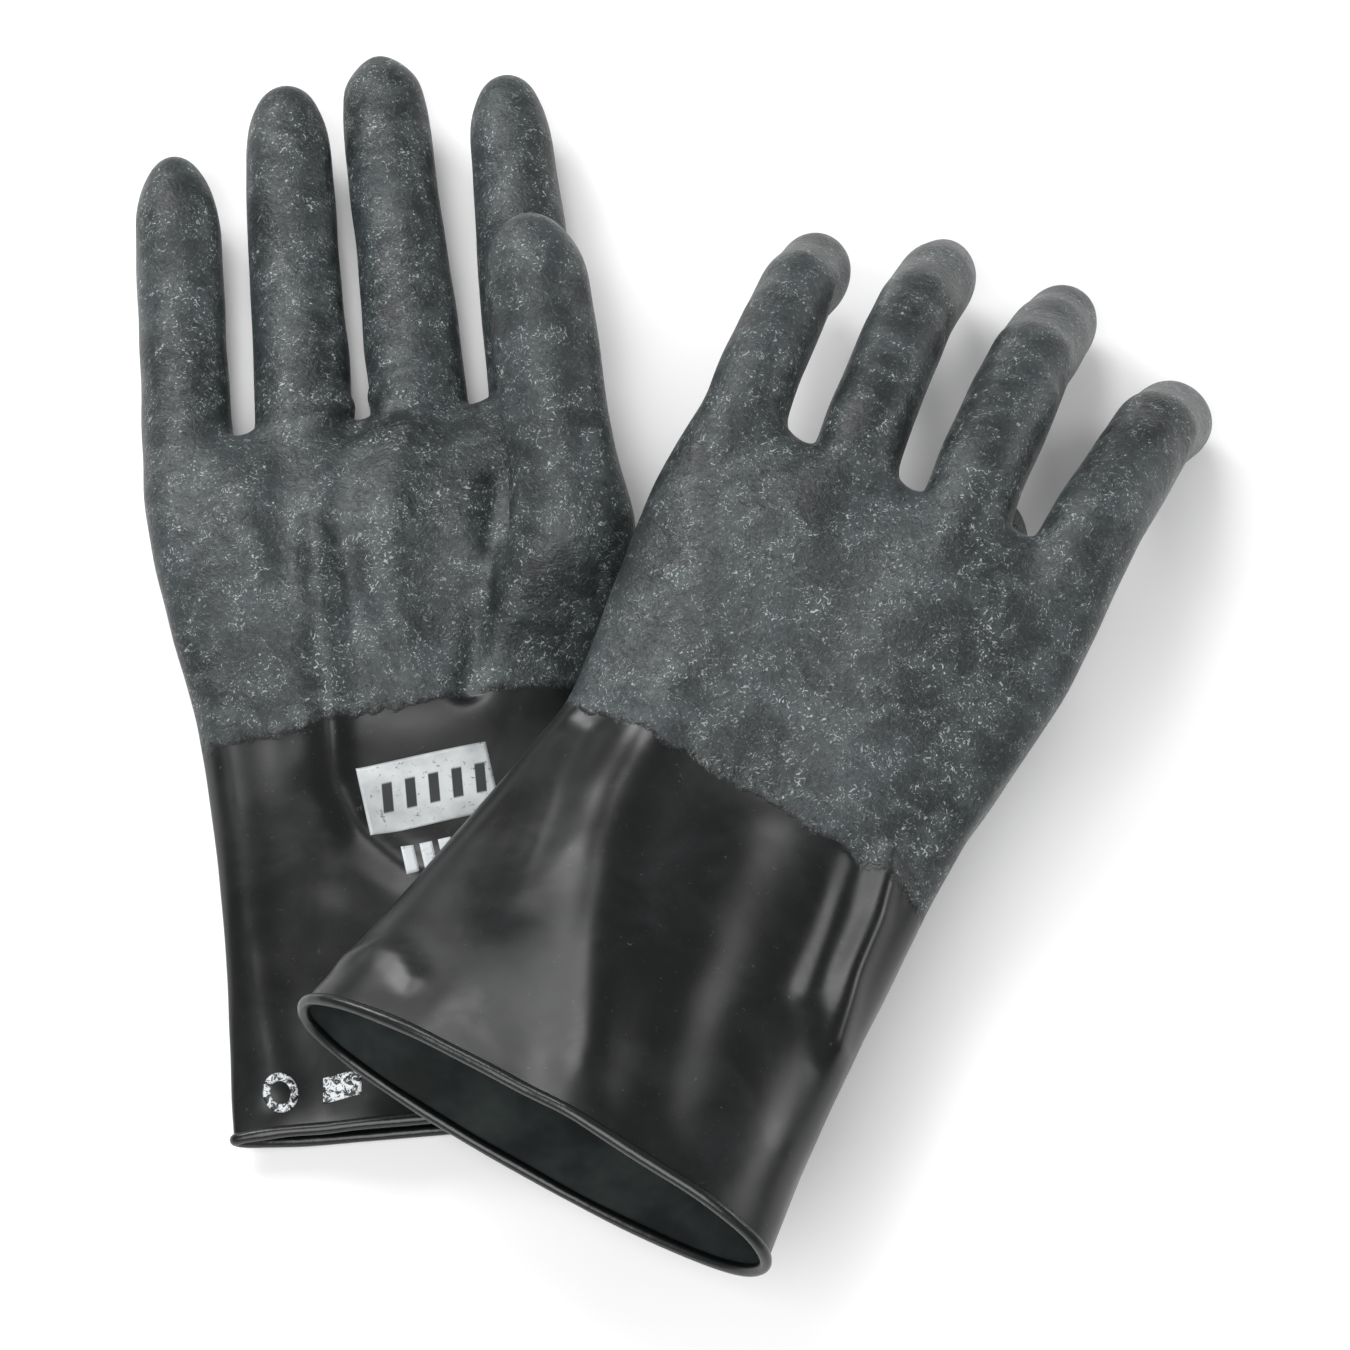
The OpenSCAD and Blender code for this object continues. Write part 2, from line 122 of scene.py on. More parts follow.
def turn_z(a):
    """The 3x3 matrix that turns by a degrees about Z."""
    c, s = math.cos(math.radians(a)), math.sin(math.radians(a))
    return np.array([[c, -s, 0], [s, c, 0], [0, 0, 1]])


def joint_place(name):
    """A joint's place at rest, in millimetres."""
    return np.array(joints[name]["pos_m"]) / MM


def places(h):
    """For one glove, each stretch's (turn, origin, local point of the origin).

    A local point p lies at origin + turn @ (p - local origin). The palm and the cuff meet at
    the wrist, a finger's base hangs on its root joint and its tip on its middle joint.
    """
    flip = np.diag([1, 1, -1 if h == "left" else 1])
    palm = turn_z(-TURN[h]) @ turn_x(SLOPE[h]) @ flip
    wrist = joint_place(h + "_wrist")
    at = np.array([0, CUFF, 0])
    made = {"palm": (palm, wrist, at), "cuff": (palm @ turn_z(SWING[h]) @ turn_x(LIFT[h]), wrist, at)}
    for d, name in enumerate(DIGITS):
        rise = turn_x(RISE) if d == THUMB else np.eye(3)
        stub = palm @ turn_z(-LEAN[h][d]) @ rise
        base = stub @ turn_x(ROOT_BEND[h][d])
        root = joint_place(f"{h}_{name}_root")
        mid = joint_place(f"{h}_{name}_mid")
        made[d, "stub"] = (stub, root, np.array([0, ROOT_Y[d], 0]))
        made[d, "base"] = (base, root, np.array([0, ROOT_Y[d], 0]))
        made[d, "tip"] = (base @ turn_x(MID_BEND[h][d]), mid, np.array([0, MID_Y[d], 0]))
    return made


def put(points, place):
    """Carries local points to the table's frame, in millimetres."""
    turn, origin, at = place
    return origin + (np.asarray(points, float) - at) @ turn.T


def back(points, place):
    """Carries points of the table's frame back to a stretch's local frame."""
    turn, origin, at = place
    return at + (np.asarray(points, float) - origin) @ turn


PLACES = {h: places(h) for h in SIDES}
print({h: np.round(PLACES[h]["palm"][1], 1).tolist() for h in SIDES})


# %% [markdown]
# ## Sections
# A hand section is a rounded box, a power curve between an ellipse and a rectangle. A
# finger section is an oval. Both change smoothly along the hand, as the porcelain form does.

# %% Sections of the hand and of a finger
def ease(t):
    """A smooth step from 0 to 1: 3 t^2 - 2 t^3."""
    t = np.clip(t, 0, 1)
    return t * t * (3 - 2 * t)


def signed_power(x, p):
    """|x| to the power p, with the sign of x."""
    return np.sign(x) * np.abs(x) ** p


def half_width(v):
    """Half of the hand's width: wide at the cuff's edge, narrow at the wrist, wide at the palm."""
    if v < CUFF:
        return WRIST_W / 2 + (CUFF_W - WRIST_W) / 2 * (1 - v / CUFF) ** 1.5
    return WRIST_W / 2 + (PALM_W - WRIST_W) / 2 * ease((v - CUFF) / WIDEN_LENGTH)


def half_height(h, v):
    """Half of the hand's height, eased from the mouth to the wrist and on to the palm."""
    if v < CUFF:
        t = ease(v / CUFF)
        return (MOUTH_H[h] * (1 - t) + WRIST_H[h] * t) / 2
    t = ease((v - CUFF) / RISE_LENGTH)
    return (WRIST_H[h] * (1 - t) + PALM_H[h] * t) / 2


def middle_height(h, v):
    """The under glove's sections all rest on the table, so their middles rise and fall."""
    if h == "left":
        return 0.0
    return half_height(h, v) - PALM_H[h] / 2 + BEAD / 2 * max(0.0, 1 - v / CUFF) ** 3


def hand_angles():
    """Directions of a hand section's 36 points; the first five are spread round the thumb."""
    k = np.arange(HAND_N, dtype=float)
    upper = np.where(k < 18, 72 + (k - 4) * 103 / 13, 185 + (k - 18) * 10)
    return np.radians(np.where(k < 4, 5 + k * 67 / 4, upper))


def hand_ring(h, v):
    """One section of the hand at v: u = a cos^(2/n) t, w = b sin^(2/n) t, out of square at the cuff."""
    t = hand_angles()
    u = half_width(v) * signed_power(np.cos(t), 2 / POWER)
    w = middle_height(h, v) + half_height(h, v) * signed_power(np.sin(t), 2 / POWER)
    skew = u * math.tan(math.radians(SKEW[h])) * max(0.0, 1 - v / CUFF)
    return np.stack([u, v - skew, w], 1)


def finger_ring(h, d, y):
    """One oval section of a digit at y, tapering by a tenth and closing in a quarter circle."""
    t = (y - LENGTH[d] + TIP_ROUND) / TIP_ROUND
    close = 1.0 if t <= 0 else math.sqrt(max(0.0, 1 - t * t))
    taper = 1 - TAPER * ease(y / LENGTH[d])
    swell = (1 - ease(y / (THUMB_STUB + 20))) ** 1.2
    if d == THUMB:
        a, b = THUMB_W / 2 + THUMB_SWELL[0] * swell, THUMB_W * THUMB_DEPTH + THUMB_SWELL[1] * swell
    else:
        a, b = (LANE / 2 - TRIM[h][d]) * taper, FINGER_H[h] / 2 * taper
    angle = np.radians((np.arange(FINGER_N) + 0.5) * 360 / FINGER_N)
    k = close / RING_SHRINK
    return np.stack([a * k * np.cos(angle), np.full(FINGER_N, y), b * k * np.sin(angle)], 1)


# %% [markdown]
# ## The cage of one glove
# The cage is rings of points joined by four-sided faces. The hand's last ring of 36 points
# runs into the four finger rings of 12, and the 12 points left over between the fingers are
# joined by the three webs. The thumb's ring of 12 is set into a hole of 12 edges in the side.
# Subdivision turns the whole cage into one smooth skin, with no seam at any finger.

# %% The cage
PALM, CUFF_PART = 0, 1


def ring_faces(a, b, n, columns):
    """Four-sided faces between two rings that start at points a and b."""
    return [(a + i, a + (i + 1) % n, b + (i + 1) % n, b + i) for i in columns]


def cage(h):
    """Points, faces and each face's stretch, for one glove's outer skin.

    A stretch's number is 0 for the palm, 1 for the cuff, and 2 + 2 d and 3 + 2 d for the base
    and the tip of digit d.
    """
    where = PLACES[h]
    points, faces, labels = [], [], []

    def add_ring(ring):
        start = sum(len(p) for p in points)
        points.append(ring)
        return start

    def add_faces(new, label):
        faces.extend(new)
        labels.extend([label] * len(new))

    every = range(HAND_N)
    # the cuff, from its edge to the wrist's fold
    cuff_vs = [1.4, 4.0, 20.0, 40.0, 60.0, 78.0, CUFF - WRIST_HALF]
    rings = [add_ring(put(hand_ring(h, v), where["cuff"])) for v in cuff_vs]
    fold = hand_ring(h, CUFF)
    rings.append(add_ring((put(fold, where["cuff"]) + put(fold, where["palm"])) / 2))
    rings.append(add_ring(put(hand_ring(h, CUFF + WRIST_HALF), where["palm"])))
    for a, b in zip(rings, rings[1:]):
        add_faces(ring_faces(a, b, HAND_N, every), CUFF_PART)
    # the palm, with the thumb's hole in its side
    low = add_ring(put(hand_ring(h, HOLE_V), where["palm"]))
    high = add_ring(put(hand_ring(h, HOLE_V + HOLE_LENGTH), where["palm"]))
    last = add_ring(put(hand_ring(h, WEB - END_LENGTH), where["palm"]))
    add_faces(ring_faces(rings[-1], low, HAND_N, every), PALM)
    add_faces(ring_faces(low, high, HAND_N, range(4, HAND_N - 1)), PALM)
    add_faces(ring_faces(high, last, HAND_N, every), PALM)
    starts = [add_ring(put(finger_ring(h, d, STUB_START), where[d, "stub"])) for d in range(4)]
    reach = [add_ring(put(finger_ring(h, d, STUB_REACH), where[d, "stub"])) for d in range(4)]
    thumb_in = add_ring(put(finger_ring(h, THUMB, THUMB_START), where[THUMB, "stub"]))
    thumb_out = add_ring(put(finger_ring(h, THUMB, THUMB_STUB), where[THUMB, "stub"]))

    def runs_into(k):
        """The finger point that point k of the hand's last ring runs into."""
        if k == 35:
            return starts[3] + 11
        if k < 5:
            return starts[3] + k
        if k < 17:
            return starts[3 - (k - 1) // 4] + (k - 1) % 4 + 1
        if k < 19:
            return starts[0] + k - 12
        return starts[(k - 19) // 4] + (k - 19) % 4 + 7

    turned = [(k + 1) % HAND_N for k in every]
    add_faces([(last + k, last + j, runs_into(j), runs_into(k)) for k, j in zip(every, turned)], PALM)
    for d in range(4):
        add_faces(ring_faces(starts[d], reach[d], FINGER_N, range(FINGER_N)), PALM)
    # the three webs, between the points of one finger and those of the next
    a, b = (10, 11, 0, 1), (7, 6, 5, 4)
    for d in range(3):
        for m in range(3):
            p, q = starts[d], starts[d + 1]
            add_faces([(p + a[m + 1], p + a[m], q + b[m], q + b[m + 1])], PALM)
    # the thumb's ring, joined to the hole's two sides and its two ends
    hole = (35, 0, 1, 2, 3, 4)
    for m in range(5):
        add_faces([(low + hole[m], low + hole[m + 1], thumb_in + m + 1, thumb_in + m)], PALM)
        add_faces([(high + hole[5 - m], high + hole[4 - m], thumb_in + m + 7, thumb_in + m + 6)], PALM)
    add_faces([(low + 4, high + 4, thumb_in + 6, thumb_in + 5)], PALM)
    add_faces([(high + 35, low + 35, thumb_in, thumb_in + 11)], PALM)
    add_faces(ring_faces(thumb_in, thumb_out, FINGER_N, range(FINGER_N)), PALM)
    # the digits, each bent at its root and in its middle
    for d in range(5):
        before = thumb_out if d == THUMB else reach[d]
        stations = [
            (ROOT_Y[d], "stub", "base"),
            (ROOT_Y[d] + ROOT_HALF, "base", "base"),
            ((ROOT_Y[d] + MID_Y[d]) / 2, "base", "base"),
            (MID_Y[d] - MID_HALF, "base", "base"),
            (MID_Y[d], "base", "tip"),
            (MID_Y[d] + MID_HALF, "tip", "tip"),
        ]
        straight = LENGTH[d] - TIP_ROUND
        stations += [(y, "tip", "tip") for y in ((MID_Y[d] + MID_HALF + straight) / 2, straight)]
        stations += [(straight + TIP_ROUND * t, "tip", "tip") for t in (0.45, 0.75, 0.93, 0.995)]
        for i, (y, one, two) in enumerate(stations):
            ring = finger_ring(h, d, y)
            new = add_ring((put(ring, where[d, one]) + put(ring, where[d, two])) / 2)
            add_faces(ring_faces(before, new, FINGER_N, range(FINGER_N)), (2 if i < 4 else 3) + 2 * d)
            before = new
        add_faces([tuple(before + i for i in range(FINGER_N))], 3 + 2 * d)
    return np.concatenate(points), faces, labels


# %% Smooth the cage
def smooth_skin(h):
    """The subdivided outer skin of one glove: points in millimetres, faces, and labels."""
    points, faces, labels = cage(h)
    mesh = bpy.data.meshes.new(h + "_cage")
    if h == "right":
        faces = [f[::-1] for f in faces]
    mesh.from_pydata((points * MM).tolist(), [], faces)
    mesh.polygons.foreach_set("material_index", labels)
    mesh.update()
    obj = bpy.data.objects.new(h + "_cage", mesh)
    bpy.context.scene.collection.objects.link(obj)
    # an empty slot for each stretch lets the subdivided faces keep their stretch's number
    for _ in range(max(labels) + 1):
        mesh.materials.append(None)
    modifier = obj.modifiers.new("smooth", "SUBSURF")
    modifier.levels = modifier.render_levels = LEVEL
    evaluated = obj.evaluated_get(bpy.context.evaluated_depsgraph_get())
    done = evaluated.to_mesh()
    co = np.empty(len(done.vertices) * 3)
    done.vertices.foreach_get("co", co)
    quads = np.empty(len(done.polygons) * 4, int)
    done.polygons.foreach_get("vertices", quads)
    label = np.empty(len(done.polygons), int)
    done.polygons.foreach_get("material_index", label)
    evaluated.to_mesh_clear()
    bpy.data.objects.remove(obj)
    return co.reshape(-1, 3) / MM, quads.reshape(-1, 4), label


skins = {h: smooth_skin(h) for h in SIDES}
print({h: (len(s[0]), "points", len(s[1]), "faces") for h, s in skins.items()})


# %% [markdown]
# ## Creases and undulation
# Rubber that has been worn and thrown down is never even. Each crease is a soft ridge or
# hollow along a line on the glove: height times exp(-(distance / width)^2), pushed along the
# skin's own normal. A few slow waves on top of them take away the moulded stiffness.

# %% Creases: (line in u and v, width, height), on the side that faces up
CREASES = {
    "right": [
        ([(-43, 112), (-45, 75), (-48, 50), (-49, 20)], 5.0, 1.6),
        ([(-34, 100), (-35, 75), (-37, 40), (-38, 10)], 6.0, -1.0),
        ([(-15, 145), (-17, 124), (-17, 108), (-20, 86), (-17, 73), (-8, 62), (6, 55)], 4.0, 1.8),
        ([(-26, 150), (-27, 118), (-28, 90), (-26, 66)], 7.0, -1.4),
        ([(-10, 180), (-4, 186), (6, 190), (20, 192)], 3.5, 1.9),
        ([(-4, 176), (8, 181), (22, 183)], 4.0, -1.8),
        ([(29, 152), (24, 133), (20, 117), (15, 103)], 3.2, -2.4),
        ([(10, 172), (4, 152), (0, 130), (2, 112)], 6.0, 1.8),
        ([(-6, 164), (-10, 146), (-8, 124)], 4.5, -1.4),
        ([(-36, 176), (-31, 152), (-28, 128)], 6.0, 1.5),
        ([(-22, 176), (-20, 160), (-22, 140)], 5.0, -1.3),
        ([(-20, 30), (5, 38), (30, 34)], 9.0, 0.8),
    ],
    "left": [
        ([(-27, 108), (-24, 78), (-20, 64), (-10, 44), (4, 18), (8, 2)], 8.0, 2.4),
        ([(-40, 92), (-38, 74), (-34, 58), (-30, 40)], 6.0, -1.6),
        ([(6, 84), (10, 60), (18, 34), (26, 8)], 10.0, -2.2),
        ([(36, 100), (41, 83), (43, 68), (48, 50)], 3.0, 2.0),
        ([(31, 92), (35, 74), (38, 58)], 4.0, -1.4),
        ([(-56, 14), (-51, 18), (-44, 17), (-38, 13)], 2.6, 0.7),
        ([(-36, 150), (-28, 125), (-24, 104)], 9.0, 1.2),
        ([(14, 170), (18, 140), (24, 110)], 10.0, 0.9),
        ([(-4, 168), (0, 140), (4, 112)], 9.0, -0.9),
    ],
}


# Wrinkles across a digit: (number, share of its length), and their reach, pitch and height
WRINKLES = ((0, 0.86), (1, 0.72), (2, 0.5))
WRINKLE_REACH, WRINKLE_PITCH, WRINKLE_HEIGHT = 17, 0.42, 0.45
# Slow waves over the whole skin: (seed, wavelength, height)
WAVES = ((3, 46, 0.5), (4, 17, 0.16))


def distance_to_line(p, line):
    """Distance of each point to a broken line: the least over its straight stretches."""
    best = np.full(len(p), 1e9)
    for a, b in zip(np.array(line[:-1], float), np.array(line[1:], float)):
        d = b - a
        t = np.clip((p - a) @ d / (d @ d), 0, 1)
        best = np.minimum(best, np.linalg.norm(p - a - t[:, None] * d, axis=1))
    return best


def normals_of(points, quads):
    """Vertex normals: the sum of the cross products of the diagonals of the faces around."""
    a, b, c, d = (points[quads[:, k]] for k in range(4))
    cross = np.cross(c - a, d - b)
    total = np.zeros_like(points)
    for k in range(4):
        np.add.at(total, quads[:, k], cross)
    return total / np.maximum(np.linalg.norm(total, axis=1), 1e-12)[:, None]


def waves(p, seed, length, count=9):
    """A slow random surface: the mean of seeded sine waves of about one wavelength."""
    rng = np.random.default_rng(seed)
    directions = rng.normal(size=(count, 3))
    directions /= np.linalg.norm(directions, axis=1)[:, None]
    phase = rng.uniform(0, 2 * math.pi, count)
    pitch = 2 * math.pi / (length * rng.uniform(0.7, 1.5, count))
    return np.sin(p @ directions.T * pitch + phase).mean(1) * 2


def crease_skin(h, points, quads):
    """The skin pushed out or in by its creases and waves, and each point's way along the glove."""
    normal = normals_of(points, quads)
    in_palm = back(points, PLACES[h]["palm"])
    in_cuff = back(points, PLACES[h]["cuff"])
    on_cuff = ease((CUFF - in_palm[:, 1] + 8) / 16)[:, None]
    local = in_palm * (1 - on_cuff) + in_cuff * on_cuff
    up = ease(normal[:, 2] * 2)
    edge = ease(local[:, 1] / 14) * 0.6 + 0.4
    push = np.zeros(len(points))
    for line, width, height in CREASES[h]:
        push += height * np.exp(-((distance_to_line(local[:, :2], line) / width) ** 2)) * up * edge
    push *= ease((WEB + 14 - local[:, 1]) / 14)
    for d in range(5):
        for number, share in WRINKLES:
            at = put([[0, LENGTH[d] * share, 0]], PLACES[h][d, "tip" if share > 0.6 else "base"])[0]
            near = np.exp(-((np.linalg.norm(points - at, axis=1) / WRINKLE_REACH) ** 2))
            fold = np.sin(back(points, PLACES[h][d, "tip"])[:, 1] * WRINKLE_PITCH + number * 2 + d)
            push += near * fold * WRINKLE_HEIGHT * up
    push += sum(waves(points, seed, length) * height for seed, length, height in WAVES)
    moved = points + normal * push[:, None]
    if h == "right":
        moved[:, 2] = np.maximum(moved[:, 2], FLOOR_GAP)
    # the way along is shifted so that the two gloves' dip lines lie where they were dipped to
    u, v = local[:, 0], local[:, 1]
    return moved, v - 11 if h == "right" else v - 5 + 0.07 * u


# %% [markdown]
# ## Cutting the skin where it bends
# The finished skin is cut into the palm, the cuff and the two halves of each digit. A cut
# piece keeps the whole skin's normals, so its seam doesn't show, and gets its inner layer
# one wall further in, with a rim that joins the two layers into a closed shell.

# %% Pieces of the skin
SKIN = {}
for h in SIDES:
    points, quads, label = skins[h]
    points, along = crease_skin(h, points, quads)
    SKIN[h] = (points, quads, label, normals_of(points, quads), along)
print({h: float(np.round(SKIN[h][0][:, 2].min(), 2)) for h in SIDES})


def boundary(quads):
    """The open edges of some faces, each in the direction of its face."""
    a, b = quads.ravel(), np.roll(quads, -1, axis=1).ravel()
    many = quads.max() + 1
    return np.stack([a, b], 1)[~np.isin(a * many + b, b * many + a)]


def rim_faces(rim, n):
    """Faces that join an outer layer's open edges to the inner layer, n points further on."""
    return np.stack([rim[:, 1], rim[:, 0], rim[:, 0] + n, rim[:, 1] + n], 1)


def shell(name, h, wanted):
    """One closed piece of the skin: outer layer, inner layer one wall in, and the rims."""
    points, quads, label, normal, along = SKIN[h]
    faces = quads[np.isin(label, wanted)]
    used, index = np.unique(faces, return_inverse=True)
    faces = index.reshape(faces.shape)
    n = len(used)
    outer, out = points[used], normal[used]
    inner = outer - out * WALL
    rims = rim_faces(boundary(faces), n)
    every = np.concatenate([faces, faces[:, ::-1] + n, rims])
    mesh = bpy.data.meshes.new(name)
    mesh.from_pydata((np.concatenate([outer, inner]) * MM).tolist(), [], every.tolist())
    mesh.polygons.foreach_set("use_smooth", np.ones(len(every), bool))
    layers = np.repeat([0, 1, 0], [len(faces), len(faces), len(rims)])
    mesh.polygons.foreach_set("material_index", layers)
    attribute = mesh.attributes.new("along", "FLOAT", "POINT")
    attribute.data.foreach_set("value", np.tile(along[used], 2).astype(np.float32))
    mesh.normals_split_custom_set_from_vertices(np.concatenate([out, -out]).tolist())
    obj = bpy.data.objects.new(name, mesh)
    bpy.context.scene.collection.objects.link(obj)
    return obj


def bend(obj):
    """Bakes a piece's place into its points; it is not attached to a body, nor set up to bend."""
    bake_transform(obj)


gloves = []
for h in SIDES:
    palm = shell(h + "_palm_skin", h, [PALM])
    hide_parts(h + "_palm")
    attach(palm, h + "_palm")
    cuff = shell(h + "_cuff_skin", h, [CUFF_PART])
    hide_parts(h + "_cuff", h + "_wrist_fold")
    bend(cuff)
    gloves += [palm, cuff]
    for d, name in enumerate(DIGITS):
        near = shell(f"{h}_{name}_near_skin", h, [2 + 2 * d])
        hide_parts(f"{h}_{name}_base", f"{h}_{name}_root_fold")
        bend(near)
        tip = shell(f"{h}_{name}_tip_skin", h, [3 + 2 * d])
        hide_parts(f"{h}_{name}_tip", f"{h}_{name}_mid_fold")
        bend(tip)
        gloves += [near, tip]
print(len(gloves), "pieces of skin")

# %% [markdown]
# ## The rolled bead
# While the rubber is still wet, the open edge is rolled back on itself. The roll is a thick
# ring of rubber that keeps the cuff from tearing. It is a round section carried along the
# skin's own edge, with a little unevenness from rolling.

# %% Beads
BEAD_SIDES = 12
UNEVEN = 0.06


def face_outward(mesh):
    """Turns every face of a closed mesh outward."""
    work = bmesh.new()
    work.from_mesh(mesh)
    bmesh.ops.recalc_face_normals(work, faces=work.faces)
    work.to_mesh(mesh)
    work.free()


def bead(h):
    """A tube round the cuff's edge: edge point + r (cos t out + sin t along), r uneven by 6 %."""
    points, quads, _, normal, _ = SKIN[h]
    follow = dict(boundary(quads).tolist())
    loop = [next(iter(follow))]
    while follow[loop[-1]] != loop[0]:
        loop.append(follow[loop[-1]])
    loop = np.array(loop)
    edge, out = points[loop] - normal[loop] * WALL / 2, normal[loop]
    tangent = np.roll(edge, -1, 0) - np.roll(edge, 1, 0)
    tangent /= np.linalg.norm(tangent, axis=1)[:, None]
    side = np.cross(tangent, out)
    n, k = len(loop), BEAD_SIDES
    s = np.arange(n) / n * 2 * math.pi
    radius = BEAD / 2 * (1 + UNEVEN * np.sin(9 * s) * np.sin(4 * s + 1))
    t = np.arange(k) / k * 2 * math.pi
    ring = edge[:, None] + radius[:, None, None] * (
        np.cos(t)[None, :, None] * out[:, None] + np.sin(t)[None, :, None] * side[:, None]
    )
    if h == "right":
        ring[..., 2] = np.maximum(ring[..., 2], FLOOR_GAP)
    i, j = np.meshgrid(np.arange(n), np.arange(k), indexing="ij")
    i2, j2 = (i + 1) % n, (j + 1) % k
    faces = np.stack([i * k + j, i2 * k + j, i2 * k + j2, i * k + j2], -1).reshape(-1, 4)
    mesh = bpy.data.meshes.new(h + "_bead")
    mesh.from_pydata((ring.reshape(-1, 3) * MM).tolist(), [], faces.tolist())
    mesh.polygons.foreach_set("use_smooth", np.ones(len(faces), bool))
    face_outward(mesh)
    obj = bpy.data.objects.new(h + "_bead", mesh)
    bpy.context.scene.collection.objects.link(obj)
    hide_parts(h + "_cuff_bead")
    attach(obj, h + "_cuff")
    return obj


beads = [bead(h) for h in SIDES]
print("beads:", [len(b.data.vertices) for b in beads])

# %% [markdown]
# ## The print
# The marks are screen-printed on the right cuff. They are a plain silver patch with bars, a
# row of small bars and a worn ring, and they carry no words. Each is a thin film that is
# dropped straight down onto the finished skin, so that it follows every crease.

# %% Films of ink dropped onto the right cuff
INK = 0.12
# Height above the cuff's middle plane that the films are dropped from
DROP_HEIGHT = 60.0
# Each block's lower left corner, width and length, then its grid's columns and rows
PATCH = (-14.5, 71.0, 31.0, 17.0, 40, 24)
BAR, BARS, BAR_PITCH = (-8.2, 60.0, 3.0, 7.0, 5, 8), 4, 4.4
BLOCK, BLOCK_SLANT = (-38.0, 12.5, 9.0, 6.0, 14, 10), 0.2
# The ring's middle, its inner and outer radius, its stretch along the cuff, and its grid
RING_AT, RING_RADII, RING_STRETCH, RING_GRID = (-47, 17), (2.3, 4.0), 1.15, (40, 4)


def drop(h, uv):
    """Points of the cuff's upper skin under each (u, v), and the up direction there."""
    points, quads, label, _, _ = SKIN[h]
    tree = BVHTree.FromPolygons(points.tolist(), quads[label == CUFF_PART].tolist())
    high = put(np.column_stack([uv, np.full(len(uv), DROP_HEIGHT)]), PLACES[h]["cuff"])
    found = [tree.ray_cast(Vector(p), Vector((0, 0, -1)))[:2] for p in high]
    return np.array([at for at, _ in found]), np.array([up if up.z > 0 else -up for _, up in found])


def film(name, uv_grid, closed=False):
    """A closed sheet of ink over a grid of (u, v) places, with its own 0 to 1 map."""
    rows, columns = uv_grid.shape[:2]
    span = uv_grid.reshape(-1, 2)
    on, up = drop("right", span)
    n = rows * columns
    r, c = np.meshgrid(np.arange(rows if closed else rows - 1), np.arange(columns - 1), indexing="ij")
    a, b = (r * columns + c).ravel(), ((r + 1) % rows * columns + c).ravel()
    top = np.stack([a, a + 1, b + 1, b], 1)
    faces = np.concatenate([top, top[:, ::-1] + n, rim_faces(boundary(top), n)])
    mesh = bpy.data.meshes.new(name)
    mesh.from_pydata((np.concatenate([on + up * INK, on - up * INK]) * MM).tolist(), [], faces.tolist())
    face_outward(mesh)
    corner = np.empty(len(mesh.loops), int)
    mesh.loops.foreach_get("vertex_index", corner)
    uv = (span[corner % n] - span.min(0)) / np.ptp(span, axis=0)
    mesh.uv_layers.new(name="print").data.foreach_set("uv", uv.astype(np.float32).ravel())
    mesh.polygons.foreach_set("use_smooth", np.ones(len(faces), bool))
    obj = bpy.data.objects.new(name, mesh)
    bpy.context.scene.collection.objects.link(obj)
    return obj


def rectangle(u0, v0, width, length, columns, rows, slant=0.0):
    """A grid of (u, v) over a rectangle, leaning by slant from foot to head."""
    u, v = np.meshgrid(np.linspace(0, width, columns), np.linspace(0, length, rows))
    return np.stack([u0 + u + v * slant, v0 + v], -1)


patch = film("printed_patch", rectangle(*PATCH))
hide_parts("print_patch")
bars = []
for i in range(BARS):
    bars.append(film(f"printed_bar_{i + 1}", rectangle(BAR[0] + i * BAR_PITCH, *BAR[1:])))
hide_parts("print_bars")
t = np.linspace(0, 2 * math.pi, RING_GRID[0], endpoint=False)[:, None]
r = np.linspace(*RING_RADII, RING_GRID[1])[None, :]
ring_uv = np.stack([RING_AT[0] + r * np.cos(t), RING_AT[1] + r * np.sin(t) * RING_STRETCH], -1)
mark = film("worn_size_ring", ring_uv, closed=True)
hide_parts("size_ring")
blot = film("worn_size_block", rectangle(*BLOCK, BLOCK_SLANT))
prints = [patch, *bars, mark, blot]
for obj in prints:
    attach(obj, "right_cuff")
print(len(prints), "printed films")

# %% [markdown]
# ## Finishes
# The hand is dipped once more in a rubber with a rough crumb in it, which gives the grip its
# mottled grey. Its pale flecks are partly talc left on the rubber and partly painted glints,
# the light that tiny facets of the crumb would catch. The cuff stays smooth and almost black.
# One material does both, and changes over at the dip line near the wrist, which is ragged
# because the crumb stops unevenly. Bumps are sized in real millimetres.


# %% Small helpers for materials
def colour(code):
    """An sRGB hex colour as the linear values that a shader takes."""
    c = np.array([int(code[i : i + 2], 16) / 255 for i in (1, 3, 5)])
    linear = np.where(c <= 0.04045, c / 12.92, ((c + 0.055) / 1.055) ** 2.4)
    return (*linear.tolist(), 1.0)


def add(tree, kind, settings=None, **inputs):
    """Adds one node, with its settings and inputs; an input may be a value or another socket."""
    node = tree.nodes.new("ShaderNode" + kind)
    for name, value in (settings or {}).items():
        setattr(node, name, value)
    for name, value in inputs.items():
        socket = node.inputs[int(name[1:])] if name[0] == "_" else node.inputs[name.replace("__", " ")]
        if isinstance(value, bpy.types.NodeSocket):
            tree.links.new(value, socket)
        else:
            socket.default_value = value
    return node


def maths(tree, operation, a, b=0.5, c=0.5, clamp=False):
    """One maths node's result."""
    return add(tree, "Math", {"operation": operation, "use_clamp": clamp}, _0=a, _1=b, _2=c).outputs[0]


def times(tree, a, b):
    """The product of two values."""
    return maths(tree, "MULTIPLY", a, b)


def one_minus(tree, a):
    """1 - a: it turns a share round."""
    return maths(tree, "SUBTRACT", 1.0, a)


def ramp(tree, value, low, high):
    """0 below low and 1 above high, eased between them."""
    node = add(tree, "MapRange", {"interpolation_type": "SMOOTHSTEP"},
               _0=value, _1=low, _2=high, _3=0.0, _4=1.0)
    return node.outputs[0]


